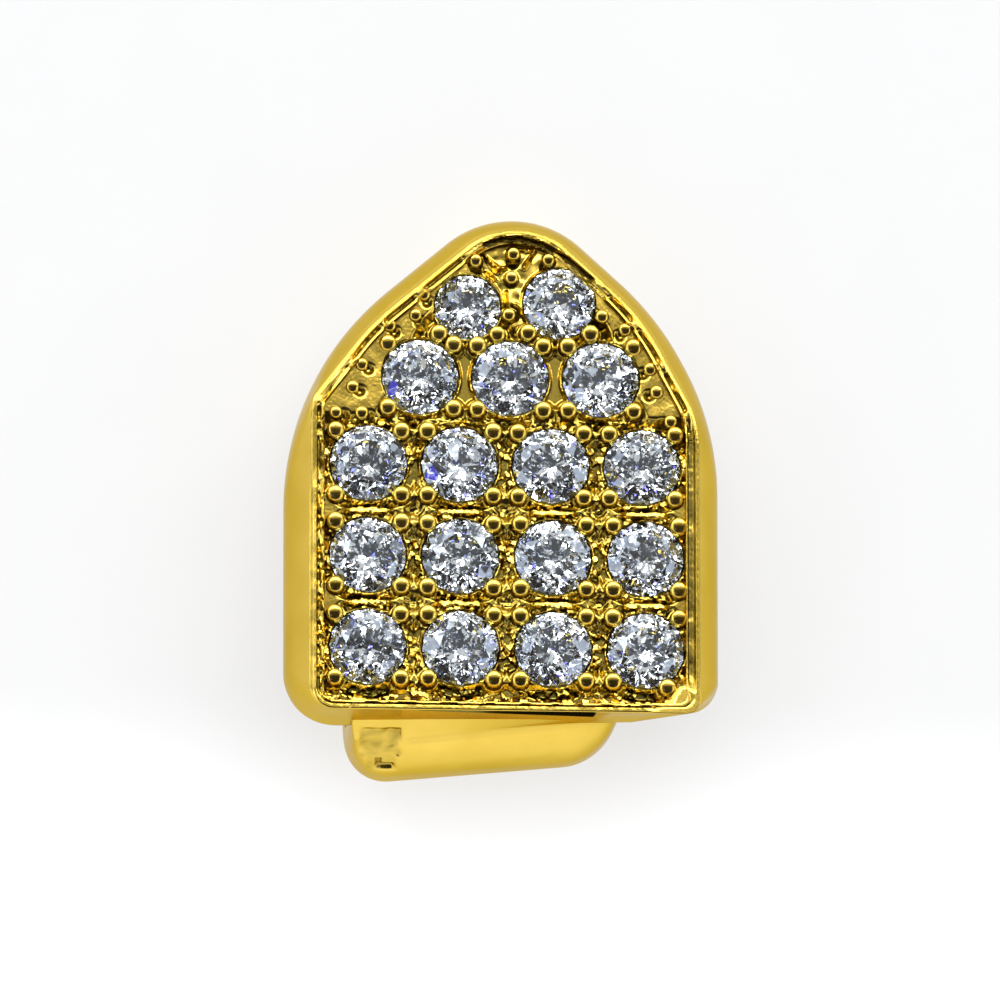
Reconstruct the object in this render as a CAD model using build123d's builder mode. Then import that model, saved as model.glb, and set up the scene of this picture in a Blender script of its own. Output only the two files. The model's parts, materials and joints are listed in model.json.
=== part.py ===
from build123d import *
from math import atan2, cos, degrees, radians, sin, tan
from typing import NamedTuple
import os

# Round stones, all lengths in millimetres and all angles in degrees
stone_diameter = 1.75
stone_gap = 0.365
row_gap = 0.405
table_share = 0.57
star_share = 0.5
lower_facet_share = 0.78
girdle_share = 0.025
crown_angle = 34.5
pavilion_angle = 40.75
stone_lean = 1.6
turn_step = 137.5
facet_step = 45

# Seats and beads that hold the stones
seat_clearance = 0.03
culet_hole = 0.5
bead_diameter = 0.4
bead_overhang = 0.01
bead_rise = 0.08
pit_diameter = 0.3
pit_depth = 0.2
pit_rows = 2

# Raised rim and the field inside it
rim_width = 0.30
rim_height = 0.30
groove_width = 0.10
groove_depth = 0.10
groove_inset = 0.09
side_margin = 0.07
bite_margin = 0.37
tip_margin = 1.65
field_corner_round = 0.25

# Cap wall: it flares from the face to its back edge
wall = 0.55
plate_thickness = 0.85
skirt_depth = 1.9
flare = 0.54
arch_slope = 41.7
tip_round = 2.35
tip_shift = 0.22
shoulder_round = 6.8
back_round_left = 1.2
back_round_right = 0.6
face_round_left = 0.5
face_round_right = 0.3
face_rise_right = 0.10
back_rise_left = 0.10
back_rise_right = 0.50

# Hook behind the tooth
hook_width = 6.05
hook_offset = -0.3
hook_wall = 0.6
hook_height = 3.8
hook_depth = 5.0
hook_slant = 5.5
hook_drop = 0.48
heel_share = 0.75
hook_root_depth = 1.0
hook_root_low = 0.22
hook_root_high = 0.5
crease_depth = 1.9
belly_depth = 2.8
belly_round = 0.8
heel_round = 1.0
heel_inner_round = 0.6
leaf_edge_round = 0.2
hook_corner_left = 1.1
hook_corner_right = 1.2
leaf_corner_round = 1.6

# Shallow rough patch at the left of the hook's underside
patch_width = 0.95
patch_length = 1.05
patch_depth = 0.1
patch_inset = 0.85

# Sizes that follow
stone_radius = stone_diameter / 2
stone_pitch = stone_diameter + stone_gap
row_pitch = stone_diameter + row_gap
bead_radius = bead_diameter / 2
first_row = rim_width + bite_margin + stone_radius
face_half_width = 1.5 * stone_pitch + stone_radius + side_margin + rim_width
back_half_width = face_half_width + flare


class StoneRow(NamedTuple):
    """Stones side by side: rise in row pitches, shift and spread in stone pitches, sink in rims."""

    count: int
    rise: float
    shift: float
    spread: float
    size: float
    sink: float


stone_rows = [
    StoneRow(count=4, rise=0.0, shift=0.02, spread=1.0, size=1.0, sink=0.0),
    StoneRow(count=4, rise=1.0, shift=0.02, spread=1.0, size=1.0, sink=0.0),
    StoneRow(count=4, rise=2.0, shift=0.005, spread=0.985, size=1.0, sink=0.0),
    StoneRow(count=3, rise=2.95, shift=0.06, spread=0.975, size=1.0, sink=0.0),
    StoneRow(count=1, rise=3.73, shift=-0.40, spread=1.0, size=0.86, sink=0.2),
    StoneRow(count=1, rise=3.78, shift=0.59, spread=1.0, size=0.94, sink=0.0),
]
tip_row_rise = stone_rows[-1].rise

face_height = first_row + tip_row_rise * row_pitch + tip_margin
back_height = face_height + flare


class ArchBead(NamedTuple):
    """A spare bead: stone pitches across, row pitches above the first row."""

    across: float
    rise: float


arch_beads = [
    ArchBead(across=0.07, rise=4.27),
    ArchBead(across=0.07, rise=4.04),
    ArchBead(across=0.04, rise=3.63),
    ArchBead(across=-0.32, rise=4.22),
    ArchBead(across=0.47, rise=4.24),
    ArchBead(across=-0.88, rise=3.84),
    ArchBead(across=-0.97, rise=3.61),
    ArchBead(across=-1.25, rise=3.49),
    ArchBead(across=-1.55, rise=3.06),
    ArchBead(across=-1.65, rise=2.81),
    ArchBead(across=-1.83, rise=2.53),
    ArchBead(across=-1.55, rise=2.53),
    ArchBead(across=1.05, rise=3.63),
    ArchBead(across=1.30, rise=3.49),
    ArchBead(across=1.57, rise=3.06),
    ArchBead(across=1.64, rise=2.81),
    ArchBead(across=1.79, rise=2.49),
]


class WallSection(NamedTuple):
    """One section of the wall: its share of the skirt depth, and how much flare is still to come."""

    depth_share: float
    flare_share: float


# From the face to the back edge
wall_sections = [
    WallSection(depth_share=0.0, flare_share=1.0),
    WallSection(depth_share=0.42, flare_share=0.27),
    WallSection(depth_share=1.0, flare_share=0.0),
]
waist = wall_sections[1]

# The cap lies on its back: its floor touches the tip's back edge and the hook's outer leaf
rest_tilt = degrees(atan2(hook_depth - skirt_depth, back_height))
tilt_sin = sin(radians(rest_tilt))
tilt_cos = cos(radians(rest_tilt))


def floor_line(up):
    """Depth of the surface that the cap lies on, below the face."""
    return skirt_depth + (back_height - up) * tan(radians(rest_tilt))


def hook_fall(across):
    """How much lower than its middle the hook hangs at one place across."""
    return (hook_offset - across) * tan(radians(hook_slant))


def tip_reach():
    """From the bite edge of the face to the tip, along the surface that the cap lies on."""
    up = back_height - waist.flare_share * flare
    return up * tilt_cos - waist.depth_share * skirt_depth * tilt_sin


def hook_reach():
    """From the bite edge of the face to the hook's heel, the other way."""
    fall = hook_fall(hook_offset - hook_width / 2)
    heel_up = -heel_share * hook_drop - fall
    heel_depth = floor_line(heel_up)
    depth_run = belly_depth - heel_depth
    up_run = -hook_drop - fall - heel_up
    heel_angle = atan2(
        -up_run * tilt_sin - depth_run * tilt_cos, up_run * tilt_cos - depth_run * tilt_sin
    )
    corner = heel_depth * tilt_sin - heel_up * tilt_cos
    return corner - heel_round / tan(heel_angle / 2) + heel_round


face = Plane(
    origin=(0, (hook_reach() - tip_reach()) / 2, floor_line(0) * tilt_cos),
    x_dir=(1, 0, 0),
    z_dir=(0, tilt_sin, tilt_cos),
)


class Seat(NamedTuple):
    """Where a stone sits on the face: across, up, below the rim's top, and its own turn."""

    across: float
    up: float
    depth: float
    diameter: float
    lean: float
    turn: float
    corners: tuple


def list_seats():
    """Seats from the bite edge to the tip, left to right."""
    seats = []
    for row in stone_rows:
        for place in range(row.count):
            number = len(seats)
            step = place - (row.count - 1) / 2
            corners = (-1, 1) if row.count > 1 else (-1,)
            seats.append(
                Seat(
                    across=(step * row.spread + row.shift) * stone_pitch,
                    up=first_row + row.rise * row_pitch,
                    depth=rim_height * (1 + row.sink),
                    diameter=row.size * stone_diameter,
                    lean=stone_lean * cos(radians(number * turn_step)),
                    turn=number * turn_step % facet_step,
                    corners=corners,
                )
            )
    return seats


def on_face(across, up, depth):
    """Location on the face, depth below the rim's top."""
    return face.location * Pos(across, up, -depth)


def seat_location(seat):
    """The middle of a stone's girdle top, tipped and turned as that stone is."""
    lean = Rot(seat.lean, -seat.lean, seat.turn)
    return on_face(seat.across, seat.up, seat.depth) * lean


def arch_face(flare_share, inward=0.0, corner_round=0.0):
    """The cap's arched outline at one depth, drawn `inward` inside its wall."""
    inset = flare * flare_share + inward
    half = back_half_width - inset
    slope = radians(arch_slope)
    apex_rise = tip_round * (1 / cos(slope) - 1)
    apex = back_height + apex_rise - inset / cos(slope)
    shoulder = apex - half * tan(slope)
    left_round = face_round_left * flare_share + back_round_left * (1 - flare_share)
    right_round = face_round_right * flare_share + back_round_right * (1 - flare_share)
    with BuildSketch() as outline:
        with BuildLine():
            FilletPolyline(
                (-half, back_rise_left * (1 - flare_share) + inward),
                (
                    half,
                    face_rise_right * flare_share + back_rise_right * (1 - flare_share) + inward,
                ),
                (half, shoulder),
                (tip_shift, apex),
                (-half, shoulder),
                radius=[
                    corner_round or left_round,
                    corner_round or right_round,
                    shoulder_round - inset,
                    tip_round - inset,
                    shoulder_round - inset,
                ],
                close=True,
            )
        make_face()
    return outline.sketch


def make_shell():
    """Flared wall with the face plate, its rim and its groove, open behind."""
    with BuildPart() as shell:
        # Outer form, through the sections of the wall
        for section in wall_sections:
            with BuildSketch(face.offset(-section.depth_share * skirt_depth)):
                add(arch_face(section.flare_share))
        loft()
        # Hollow behind the plate
        plate_back = rim_height + plate_thickness
        back_share = (skirt_depth - plate_back) / skirt_depth * waist.flare_share
        with BuildSketch(face.offset(-plate_back)):
            add(arch_face(back_share, inward=wall, corner_round=field_corner_round))
        with BuildSketch(face.offset(-skirt_depth)):
            add(arch_face(0, inward=wall, corner_round=field_corner_round))
        loft(ruled=True, mode=Mode.SUBTRACT)
        # Sunk field inside the rim
        with BuildSketch(face):
            add(arch_face(1, inward=rim_width, corner_round=field_corner_round))
        extrude(amount=-rim_height, mode=Mode.SUBTRACT)
        # Groove along the top of the rim
        with BuildSketch(face):
            add(arch_face(1, inward=groove_inset))
            add(arch_face(1, inward=groove_inset + groove_width), mode=Mode.SUBTRACT)
        extrude(amount=-groove_depth, mode=Mode.SUBTRACT)
    return shell


def hook_section(across):
    """Side view of the hook at one place across: x is depth, y is up."""
    drop = hook_fall(across)
    heel_up = -heel_share * hook_drop - drop
    inner_shift = hook_wall / tilt_cos
    inner_heel_up = hook_wall - hook_drop - drop
    section_plane = Plane(
        origin=face.from_local_coords((across, 0, 0)), x_dir=-face.z_dir, z_dir=face.x_dir
    )
    with BuildSketch(section_plane) as section:
        with BuildLine():
            FilletPolyline(
                (hook_root_depth, back_rise_left + hook_root_low),
                (crease_depth, back_rise_left - drop),
                (belly_depth, -hook_drop - drop),
                (floor_line(heel_up), heel_up),
                (floor_line(hook_height), hook_height),
                (floor_line(hook_height) - inner_shift, hook_height),
                (floor_line(inner_heel_up) - inner_shift, inner_heel_up),
                (hook_root_depth, back_rise_left + hook_root_high),
                radius=[
                    0,
                    0,
                    belly_round,
                    heel_round,
                    leaf_edge_round,
                    leaf_edge_round,
                    heel_inner_round,
                    0,
                ],
                close=True,
            )
        make_face()
    return section.sketch


def make_hook():
    """J-shaped hook: it leaves the bite edge, bulges below it and turns up behind the tooth."""
    left = hook_offset - hook_width / 2
    right = hook_offset + hook_width / 2
    patch_across = left + patch_inset
    crease_up = back_rise_left - hook_fall(patch_across)
    belly_up = -hook_drop - hook_fall(patch_across)
    crease = face.from_local_coords((patch_across, crease_up, -crease_depth))
    belly = face.from_local_coords((patch_across, belly_up, -belly_depth))
    underside = Plane(
        origin=(crease + belly) / 2, x_dir=face.x_dir, z_dir=(belly - crease).cross(face.x_dir)
    )
    with BuildPart() as hook:
        loft([hook_section(left), hook_section(right)], ruled=True)
        # Rounded corners, as seen from the front
        with BuildSketch(face):
            with BuildLine():
                FilletPolyline(
                    (left, -hook_drop - hook_fall(left)),
                    (right, -hook_drop - hook_fall(right)),
                    (right, hook_height),
                    (left, hook_height),
                    radius=[
                        hook_corner_left,
                        hook_corner_right,
                        leaf_corner_round,
                        leaf_corner_round,
                    ],
                    close=True,
                )
            make_face()
        extrude(amount=-2 * hook_depth, mode=Mode.INTERSECT)
        # Shallow patch
        with Locations(underside):
            Box(patch_width, patch_length, 2 * patch_depth, mode=Mode.SUBTRACT)
    return hook


class FacetRing(NamedTuple):
    """Equal facets around a stone: a point on the first one, its slope and its side."""

    count: int
    azimuth: float
    reach: float
    height: float
    slope: float
    side: int


def make_brilliant(diameter):
    """Round brilliant: a sixteen-sided blank cut by the planes of its facets, girdle top at z=0."""
    radius = diameter / 2
    girdle = girdle_share * diameter
    crown_rise = tan(radians(crown_angle))
    pavilion_fall = tan(radians(pavilion_angle))
    half_turn = radians(22.5)
    chord = cos(radians(11.25))
    table_top = (1 - table_share) * radius * crown_rise
    table_edge = table_share * radius * cos(half_turn)
    star_tip = table_edge + star_share * (radius - table_edge)
    star_tip_up = (radius - star_tip * cos(half_turn)) * crown_rise
    star_slope = atan2(table_top - star_tip_up, star_tip - table_edge)
    upper_slope = atan2(star_tip_up, (radius - star_tip) * chord)
    lower_tip = (1 - lower_facet_share) * radius
    lower_tip_down = (radius - lower_tip * cos(half_turn)) * pavilion_fall
    lower_slope = atan2(lower_tip_down, (radius - lower_tip) * chord)
    rings = [
        FacetRing(8, 0.0, radius, 0.0, radians(crown_angle), 1),
        FacetRing(8, 22.5, table_edge, table_top, star_slope, 1),
        FacetRing(16, 11.25, radius * chord, 0.0, upper_slope, 1),
        FacetRing(8, 0.0, radius, -girdle, radians(pavilion_angle), -1),
        FacetRing(16, 11.25, radius * chord, -girdle, lower_slope, -1),
    ]
    with BuildPart() as brilliant:
        with BuildSketch(Plane.XY.offset(-radius)):
            RegularPolygon(radius=radius, side_count=16)
        extrude(amount=radius + table_top)
        for ring in rings:
            for place in range(ring.count):
                azimuth = radians(ring.azimuth + place * 360 / ring.count)
                outward = Vector(cos(azimuth), sin(azimuth))
                facet = Plane(
                    origin=outward * ring.reach + Vector(0, 0, ring.height),
                    z_dir=outward * sin(ring.slope) + Vector(0, 0, ring.side * cos(ring.slope)),
                )
                split(bisect_by=facet, keep=Keep.BOTTOM)
    return brilliant


def make_seat_cutter(diameter):
    """Room for a stone: its turned envelope with clearance, and the hole under its culet."""
    radius = diameter / 2
    girdle = girdle_share * diameter
    crown_rise = tan(radians(crown_angle))
    pavilion_fall = tan(radians(pavilion_angle))
    table_top = (1 - table_share) * radius * crown_rise + seat_clearance
    table_radius = table_share * radius + seat_clearance
    seat_radius = radius + seat_clearance
    hole_radius = culet_hole / 2
    cone_foot = girdle + (seat_radius - hole_radius) * pavilion_fall
    with BuildPart() as cutter:
        with BuildSketch(Plane.XZ):
            with BuildLine():
                Polyline(
                    (0, table_top),
                    (table_radius, table_top),
                    (seat_radius, seat_clearance),
                    (seat_radius, -girdle),
                    (hole_radius, -cone_foot),
                    (hole_radius, -2 * plate_thickness),
                    (0, -2 * plate_thickness),
                    close=True,
                )
            make_face()
        revolve(axis=Axis.Z)
    return cutter


def make_cap_body(seats):
    """The whole casting: shell, hook, beads, seats and pits as one solid."""
    bead_ring = bead_radius - bead_overhang
    beads = [
        (bead.across * stone_pitch, first_row + bead.rise * row_pitch) for bead in arch_beads
    ]
    for seat in seats:
        reach = (seat.diameter / 2 + bead_ring) * cos(radians(45))
        for side in (-1, 1):
            for end in seat.corners:
                beads.append((seat.across + side * reach, seat.up + end * reach))
    pits = []
    for row in stone_rows[:pit_rows]:
        for place in range(1, row.count):
            step = place - row.count / 2
            pits.append(
                (
                    (step * row.spread + row.shift) * stone_pitch,
                    first_row + (row.rise + 0.5) * row_pitch,
                )
            )
    with BuildPart() as cap_body:
        add(make_shell().part)
        add(make_hook().part)
        # Wells above the stones that sit deeper
        for seat in seats:
            if seat.depth > rim_height:
                with Locations(seat_location(seat)):
                    Cylinder(
                        radius=seat.diameter / 2 + seat_clearance,
                        height=rim_height,
                        align=(Align.CENTER, Align.CENTER, Align.MIN),
                        mode=Mode.SUBTRACT,
                    )
        # Beads: posts with round heads
        with BuildSketch(face.offset(-rim_height - bead_rise)):
            with Locations(*beads):
                Circle(bead_radius)
        extrude(amount=2 * bead_rise - plate_thickness / 2)
        with Locations(face.offset(bead_rise - rim_height)):
            with Locations(*beads):
                Sphere(bead_radius)
        # Drilled pits where four stones meet
        with Locations(face.offset(-rim_height)):
            with Locations(*pits):
                Cone(
                    bottom_radius=0,
                    top_radius=pit_diameter / 2,
                    height=pit_depth,
                    align=(Align.CENTER, Align.CENTER, Align.MAX),
                    mode=Mode.SUBTRACT,
                )
        # Seats
        add(
            [make_seat_cutter(seat.diameter).part.moved(seat_location(seat)) for seat in seats],
            mode=Mode.SUBTRACT,
        )
    return cap_body


def make_stone(seat, brilliant):
    """One stone in its seat."""
    with BuildPart() as stone:
        with Locations(seat_location(seat)):
            add(brilliant.part)
    return stone


os.makedirs("parts", exist_ok=True)

seats = list_seats()

cap_body = make_cap_body(seats)
cap_body.part.label = "cap_body"
export_step(cap_body.part, "parts/cap_body.step")

brilliants = {diameter: make_brilliant(diameter) for diameter in {s.diameter for s in seats}}
for number, seat in enumerate(seats, start=1):
    stone = make_stone(seat, brilliants[seat.diameter])
    stone.part.label = f"stone_{number:02d}"
    export_step(stone.part, f"parts/stone_{number:02d}.step")
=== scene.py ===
import json
import math

import bmesh
import bpy
import numpy as np
from mathutils import Matrix, Vector, noise
from mathutils.geometry import delaunay_2d_cdt


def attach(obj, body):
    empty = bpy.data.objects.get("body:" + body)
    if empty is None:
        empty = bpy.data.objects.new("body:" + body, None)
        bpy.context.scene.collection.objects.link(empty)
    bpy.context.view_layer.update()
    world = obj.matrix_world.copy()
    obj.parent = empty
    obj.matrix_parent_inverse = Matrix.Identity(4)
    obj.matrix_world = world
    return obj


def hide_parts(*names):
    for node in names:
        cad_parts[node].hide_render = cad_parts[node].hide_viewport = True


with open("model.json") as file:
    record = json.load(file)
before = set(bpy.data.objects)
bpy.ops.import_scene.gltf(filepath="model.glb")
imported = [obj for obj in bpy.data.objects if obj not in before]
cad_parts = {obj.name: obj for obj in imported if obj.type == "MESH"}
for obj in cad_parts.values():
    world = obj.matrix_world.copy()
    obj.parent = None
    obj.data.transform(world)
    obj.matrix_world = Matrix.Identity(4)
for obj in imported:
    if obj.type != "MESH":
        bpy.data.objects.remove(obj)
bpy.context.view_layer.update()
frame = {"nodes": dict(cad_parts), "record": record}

# Lengths are in millimetres and angles in degrees until a mesh is finished
MM = 0.001
# How near a plane a point counts as lying on it
ON_PLANE = 0.002

# Arched outline of the cap. Its main sizes are the casting's; its tip, shoulders and bottom
# corners are nearer the photograph's
BACK_HALF_WIDTH = 4.9575
BACK_HEIGHT = 11.8809
FLARE = 0.54
ARCH_SLOPE = 41.7
TIP_ROUND = 2.35
TIP_SHIFT = 0.30
SHOULDER_ROUND = 6.8
# Rounds of the left and right bottom corners
BACK_ROUNDS = (1.2, 0.6)
FACE_ROUNDS = (0.5, 0.3)
# Where the face's arch meets each side: height, round and turn, and the arch's round above it
FACE_SHOULDERS = {-1: (7.32, 0.35, 37.3), 1: (6.93, 2.2, 28.0)}
FACE_ARCH_ROUND = 6.0
# How far the arch's left and right sides stand out from one plain slope
ARCH_LIFT = {-1: -0.13, 1: 0.20}
FACE_RISE_RIGHT = 0.02
BACK_RISE_LEFT = 0.02
BACK_RISE_RIGHT = 0.30
BACK_BEND_START = 3.0
BACK_BEND_SLOPE = 0.14
BACK_BEND_FADE = (0.6, 1.6)
INNER_ROUND = 0.25
LEAST_ROUND = 0.08
# The shoulder's rounds are a little smaller at the back edge, so that they fit
SHOULDER_FIT = 0.97
# Points on each corner's arc and on each edge, from the bottom left corner round to the right
ARC_STEPS = (24, 24, 90, 60, 96, 50, 100)
EDGE_STEPS = (270, 150, 16, 48, 48, 16, 150)

# Rim, field, wall and plate
RIM_WIDTH = 0.30
RIM_HEIGHT = 0.30
PLATE_BACK = 1.15
SKIRT_DEPTH = 1.9
WALL = 0.55
WAIST_DEPTH_SHARE = 0.42
WAIST_FLARE_SHARE = 0.27
LEDGE_WIDTH = 0.12
EDGE_ROUND = 0.07
WALL_TOP = 0.13
WALL_ROWS = 24
# The ledge under the bite edge, dark from what it reflects and from painted shade: the places
# across between which it widens, its top and height as depths, and the depths between which it
# grows out of the wall
LEDGE_ENDS = (-2.5, 1.95)
LEDGE_TOP = 0.085
LEDGE_HEIGHT = 0.04
LEDGE_FADE = (0.16, 0.36)

# Places between which the rim changes. Across: where its left and right sides begin
LEFT_SIDE = (3.6, 4.0)
RIGHT_SIDE = (3.6, 4.2)
# Up the face: where the bite edge, the sides and their rough groove end, and the worn crest
BITE_END = (0.10, 0.40)
SIDE_END = (6.6, 6.9)
RIGHT_SIDE_END = (6.2, 7.4)
ROUGH_END = (6.2, 7.0)
WORN_START = (5.0, 5.8)
WORN_END = (6.9, 7.2)
# Inward: where the groove starts and ends, and where the cut at the tip starts
GROOVE_START = (0.10, 0.124)
GROOVE_END = (0.18, 0.21)
CRESCENT_START = (0.10, 0.14)
# Across and up: the plain corner at the right end of the bite edge
PLAIN_CORNER_START = (3.25, 3.6)
PLAIN_CORNER_END = (0.35, 0.7)
# Above this depth lie the rim's crest, groove and inner ridge
RIDGE_FOOT = 0.14
RIDGE_ON_BITE = 0.85
RIDGE_ON_RIGHT = 0.95
RIDGE_REACH = (0.13, 0.22)
WORN_DEPTH = 0.03
CRESCENT_DEPTH = 0.24
CRESCENT_REACH = (0.035, 0.085)

# Field: where the rows of stones end up the face, and how low or high its parts lie
ROWS_END = (6.75, 7.05)
BITE_GAP_END = (0.60, 0.74)
ARCH_RISE = 0.11
GAP_DROP = 0.14
GAP_REACH = (0.22, 0.36)
TIP_DEPTH = 0.34
PIT_DEPTH = 0.12
PIT_REACH = (0.08, 0.30)
GRAIN_SIZE = 0.12
CORNER_DEPTH = 0.07
LIP_DEPTH = 0.335
LIP_RISE = 0.065
LIP_REACH = (0.04, 0.09)
SKIRT_TOP = 0.33
SKIRT_SLOPE = 1.5
# Its mesh: reach under the rim, spacing of its points, share of the outline's points
FIELD_OVERLAP = 0.08
FIELD_SPACING = 0.03
FIELD_FINENESS = 0.6

# Stones, seats and beads
STONE_PITCH = 2.115
ROW_PITCH = 2.155
FIRST_ROW = 1.545
TABLE_SHARE = 0.57
CROWN_ANGLE = 34.5
PAVILION_ANGLE = 40.75
GIRDLE_SHARE = 0.025
SEAT_CLEARANCE = 0.03
HOLE_RADIUS = 0.25
SEAT_SHADE = 0.75
BEAD_RADIUS = 0.225
BEAD_OFFSET = 0.19
BEAD_RISE = 0.08
BEAD_LEAN = 0.17
BEAD_STEPS = 28
SEAT_STEPS = 96
# The two stones from this one on, at the tip, have beads on their lower side alone
FIRST_TIP_STONE = 15

# Cuts beside the spare beads: the place that they lie toward, offset, depth and reach
CUT_CENTRE = (0.0, 6.0)
CUT_OFFSET = 0.19
TIP_CUT_OFFSET = (0.0, -0.17)
CUT_DEPTH = 0.10
CUT_REACH = (0.02, 0.18)

# Hook
HOOK_WIDTH = 6.27
HOOK_OFFSET = -0.295
HOOK_WALL = 0.6
HOOK_HEIGHT = 3.8
HOOK_SLANT = 5.5
HOOK_DROP = 0.57
HEEL_SHARE = 0.75
HOOK_ROOT_DEPTH = 1.0
HOOK_ROOT_LOW = 0.22
HOOK_ROOT_HIGH = 0.5
CREASE_DEPTH = 1.9
BELLY_DEPTH = 2.8
BELLY_ROUND = 2.2
HEEL_ROUND = 1.0
HEEL_INNER_ROUND = 0.6
LEAF_EDGE_ROUND = 0.2
HOOK_CORNER_LEFT = 1.05
HOOK_CORNER_RIGHT = 1.25
LEAF_CORNER_ROUND = 1.6
ROOT_ROUND = 0.02
CREASE_ROUND = 0.03
REMESH_SIZE = 0.037

# The photograph's view: pixels are in its 1000 by 1000 frame
PHOTO_SIZE = 1000
MIDDLE = PHOTO_SIZE / 2
PIXELS_PER_MM = 44.0
BITE_PIXEL = (506, 711)
VIEW_SIDEWAYS = 4.0
VIEW_ROLL = 1.0
LENS = 900
SENSOR = 36

# Pixels of the recess at the hook's left end, of the ledge under it and of the notch's two
# parts: top left and bottom right of each; then the crease's two ends
DENT_PIXELS = ((360, 729), (401, 757))
DENT_LEDGE_PIXELS = ((366, 749), (396, 770))
NOTCH_PIXELS = (((375, 760), (381, 769)), ((380, 765), (393, 769)))
HOOK_CREASE_PIXELS = ((402, 742), (614, 721))
# Rows between which the recess gets shallower, columns between which the crease begins, half
# the crease's width, and soft edges
DENT_FADE_PIXELS = (738, 756)
CREASE_START_PIXELS = (398, 414)
CREASE_HALF_PIXELS = 5.5
DENT_SOFT = 2.3
DENT_LEDGE_SOFT = 2.0
NOTCH_SOFT = 1.5

# Light: the glow near the horizon, brighter on the hook's side, and overhead, with the angles
# from overhead where one meets the other
HORIZON_COLOUR = (0.36, 0.36, 0.37, 1)
FRONT_COLOUR = (1.45, 1.45, 1.43, 1)
FRONT_ENDS = (0.25, 0.75)
DOME_COLOUR = (0.085, 0.09, 0.10, 1)
DOME_ANGLES = (42, 60)
PATCH_COLOUR = (4.4, 4.57, 4.74, 1)
PATCH_SCALE = 8.0
PATCH_ENDS = (0.50, 0.53)
# Painted glow of the floor beside the cap and in front of it, brighter in front as a painted pool
# of light, and the places between which it rises
FLOOR_GLOW = (0.59, 0.95)
FLOOR_GLOW_ENDS = (-4.0, -10.0)
FLOOR_SIZE = 3000

# Colours of the surfaces
GOLD_COLOURS = ((0.64, 0.445, 0.070, 1), (0.70, 0.490, 0.090, 1))
GOLD_TINT = (0.80, 0.70, 0.40, 1)
# Painted shade: the dark colour laid over the gold where a piece holds painted shade
PAINTED_SHADE_COLOUR = (0.15, 0.118, 0.024, 1)
CRYSTAL_COLOURS = ((0.82, 0.90, 1.0, 1), (0.93, 0.98, 1.0, 1))
CRYSTAL_TINT = (0.50, 0.56, 0.66, 1)
CRYSTAL_TILT = 0.15
CRYSTAL_INDEX = 2.16
FLOOR_COLOURS = ((0.24, 0.24, 0.24, 1), (0.26, 0.26, 0.26, 1))

# Cards over the cap: sideways and lengthways ends as slopes from overhead, soft edge, colour
CARDS = [
    ((-1.4, 1.4), (0.30, 0.85), 0.12, (0.66, 0.66, 0.66, 1)),
    ((-1.3, 1.3), (0.84, 1.22), 0.05, (12.0, 12.0, 11.7, 1)),
    ((-1.0, 1.0), (-1.20, 0.36), 0.10, (0.030, 0.026, 0.023, 1)),
    ((-1.20, -1.05), (-0.20, 0.0), 0.02, (0.6, 0.45, 5.0, 1)),
    ((0.42, 0.56), (-0.70, -0.56), 0.02, (0.5, 0.45, 4.0, 1)),
    ((-0.50, -0.38), (-0.36, -0.22), 0.02, (0.7, 0.8, 3.0, 1)),
]

# Spare beads of the arch, in stone pitches across and row pitches above the first row
ARCH_BEADS = [
    (0.09, 4.30), (0.07, 4.04), (0.04, 3.63), (-0.32, 4.22), (0.47, 4.24), (-0.88, 3.84),
    (-0.97, 3.61), (-1.25, 3.49), (-1.55, 3.06), (-1.65, 2.81), (-1.83, 2.53), (-1.55, 2.53),
    (1.05, 3.63), (1.30, 3.49), (1.57, 3.06), (1.64, 2.81), (1.79, 2.49),
]
SPARE_BEAD_SIZE = 0.74
# Where the bead at the right end of the bite edge stands, nearer its stone
CORNER_BEAD = (3.70, 0.66)

# Pixels of the pieces of the rim's inner ridge along the arch
RIDGE_PIXELS = [
    ((323, 412), (331, 403)), ((332, 401), (350, 374)), ((360, 358), (366, 350)),
    ((368, 346), (380, 333)), ((392, 319), (411, 301)), ((431, 283), (460, 265)),
    ((609, 304), (625, 319)), ((637, 337), (653, 360)), ((663, 379), (667, 386)),
    ((670, 394), (680, 407)),
]

# Pixels along the narrow cut between the rim and the field at the tip, dark from its depth and from
# painted shade
CRESCENT_PIXELS = [
    ((486, 244), (502, 239)), ((502, 239), (520, 238)), ((520, 238), (542, 244)),
    ((542, 244), (567, 258)), ((567, 258), (592, 278)),
]

# Pixels of the sharp wedges between the cuts at the tip: start, end, half width at each, height
WEDGE_PIXELS = [
    ((484, 251), (498, 266), 0.03, 0.12, 0.17),
    ((487, 269), (496, 276), 0.05, 0.06, 0.13),
    ((535, 249), (525, 264), 0.06, 0.07, 0.16),
    ((521, 247), (536, 248), 0.04, 0.05, 0.12),
    ((498, 266), (507, 264), 0.08, 0.05, 0.10),
    ((507, 289), (509, 312), 0.06, 0.04, 0.13),
    ((517, 300), (533, 314), 0.05, 0.05, 0.08),
]


def find_face():
    """The face plane, from the frame: its origin and its across, up and outward directions."""
    up = np.array(frame["record"]["mounts"][0]["axis"])
    up /= np.linalg.norm(up)
    across = np.array([1.0, 0.0, 0.0])
    outward = np.cross(across, up)
    points = np.array([v.co for v in frame["nodes"]["cap_body"].data.vertices]) / MM
    rim_top = (points @ outward).max()
    on_top = points @ outward > rim_top - ON_PLANE
    bite = (points[on_top] @ up).min()
    return outward * rim_top + up * bite, across, up, outward


face_origin, face_across, face_up, face_out = find_face()


def from_face(across, up, depth):
    """Points in millimetres from places on the face and depths below the rim's top."""
    across, up, depth = np.broadcast_arrays(across, up, depth)
    spots = np.multiply.outer(across, face_across) + np.multiply.outer(up, face_up)
    return face_origin + spots - np.multiply.outer(depth, face_out)


def to_face(points):
    """Places across and up the face and depths below the rim's top, from points."""
    moved = points - face_origin
    return moved @ face_across, moved @ face_up, -(moved @ face_out)


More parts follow.
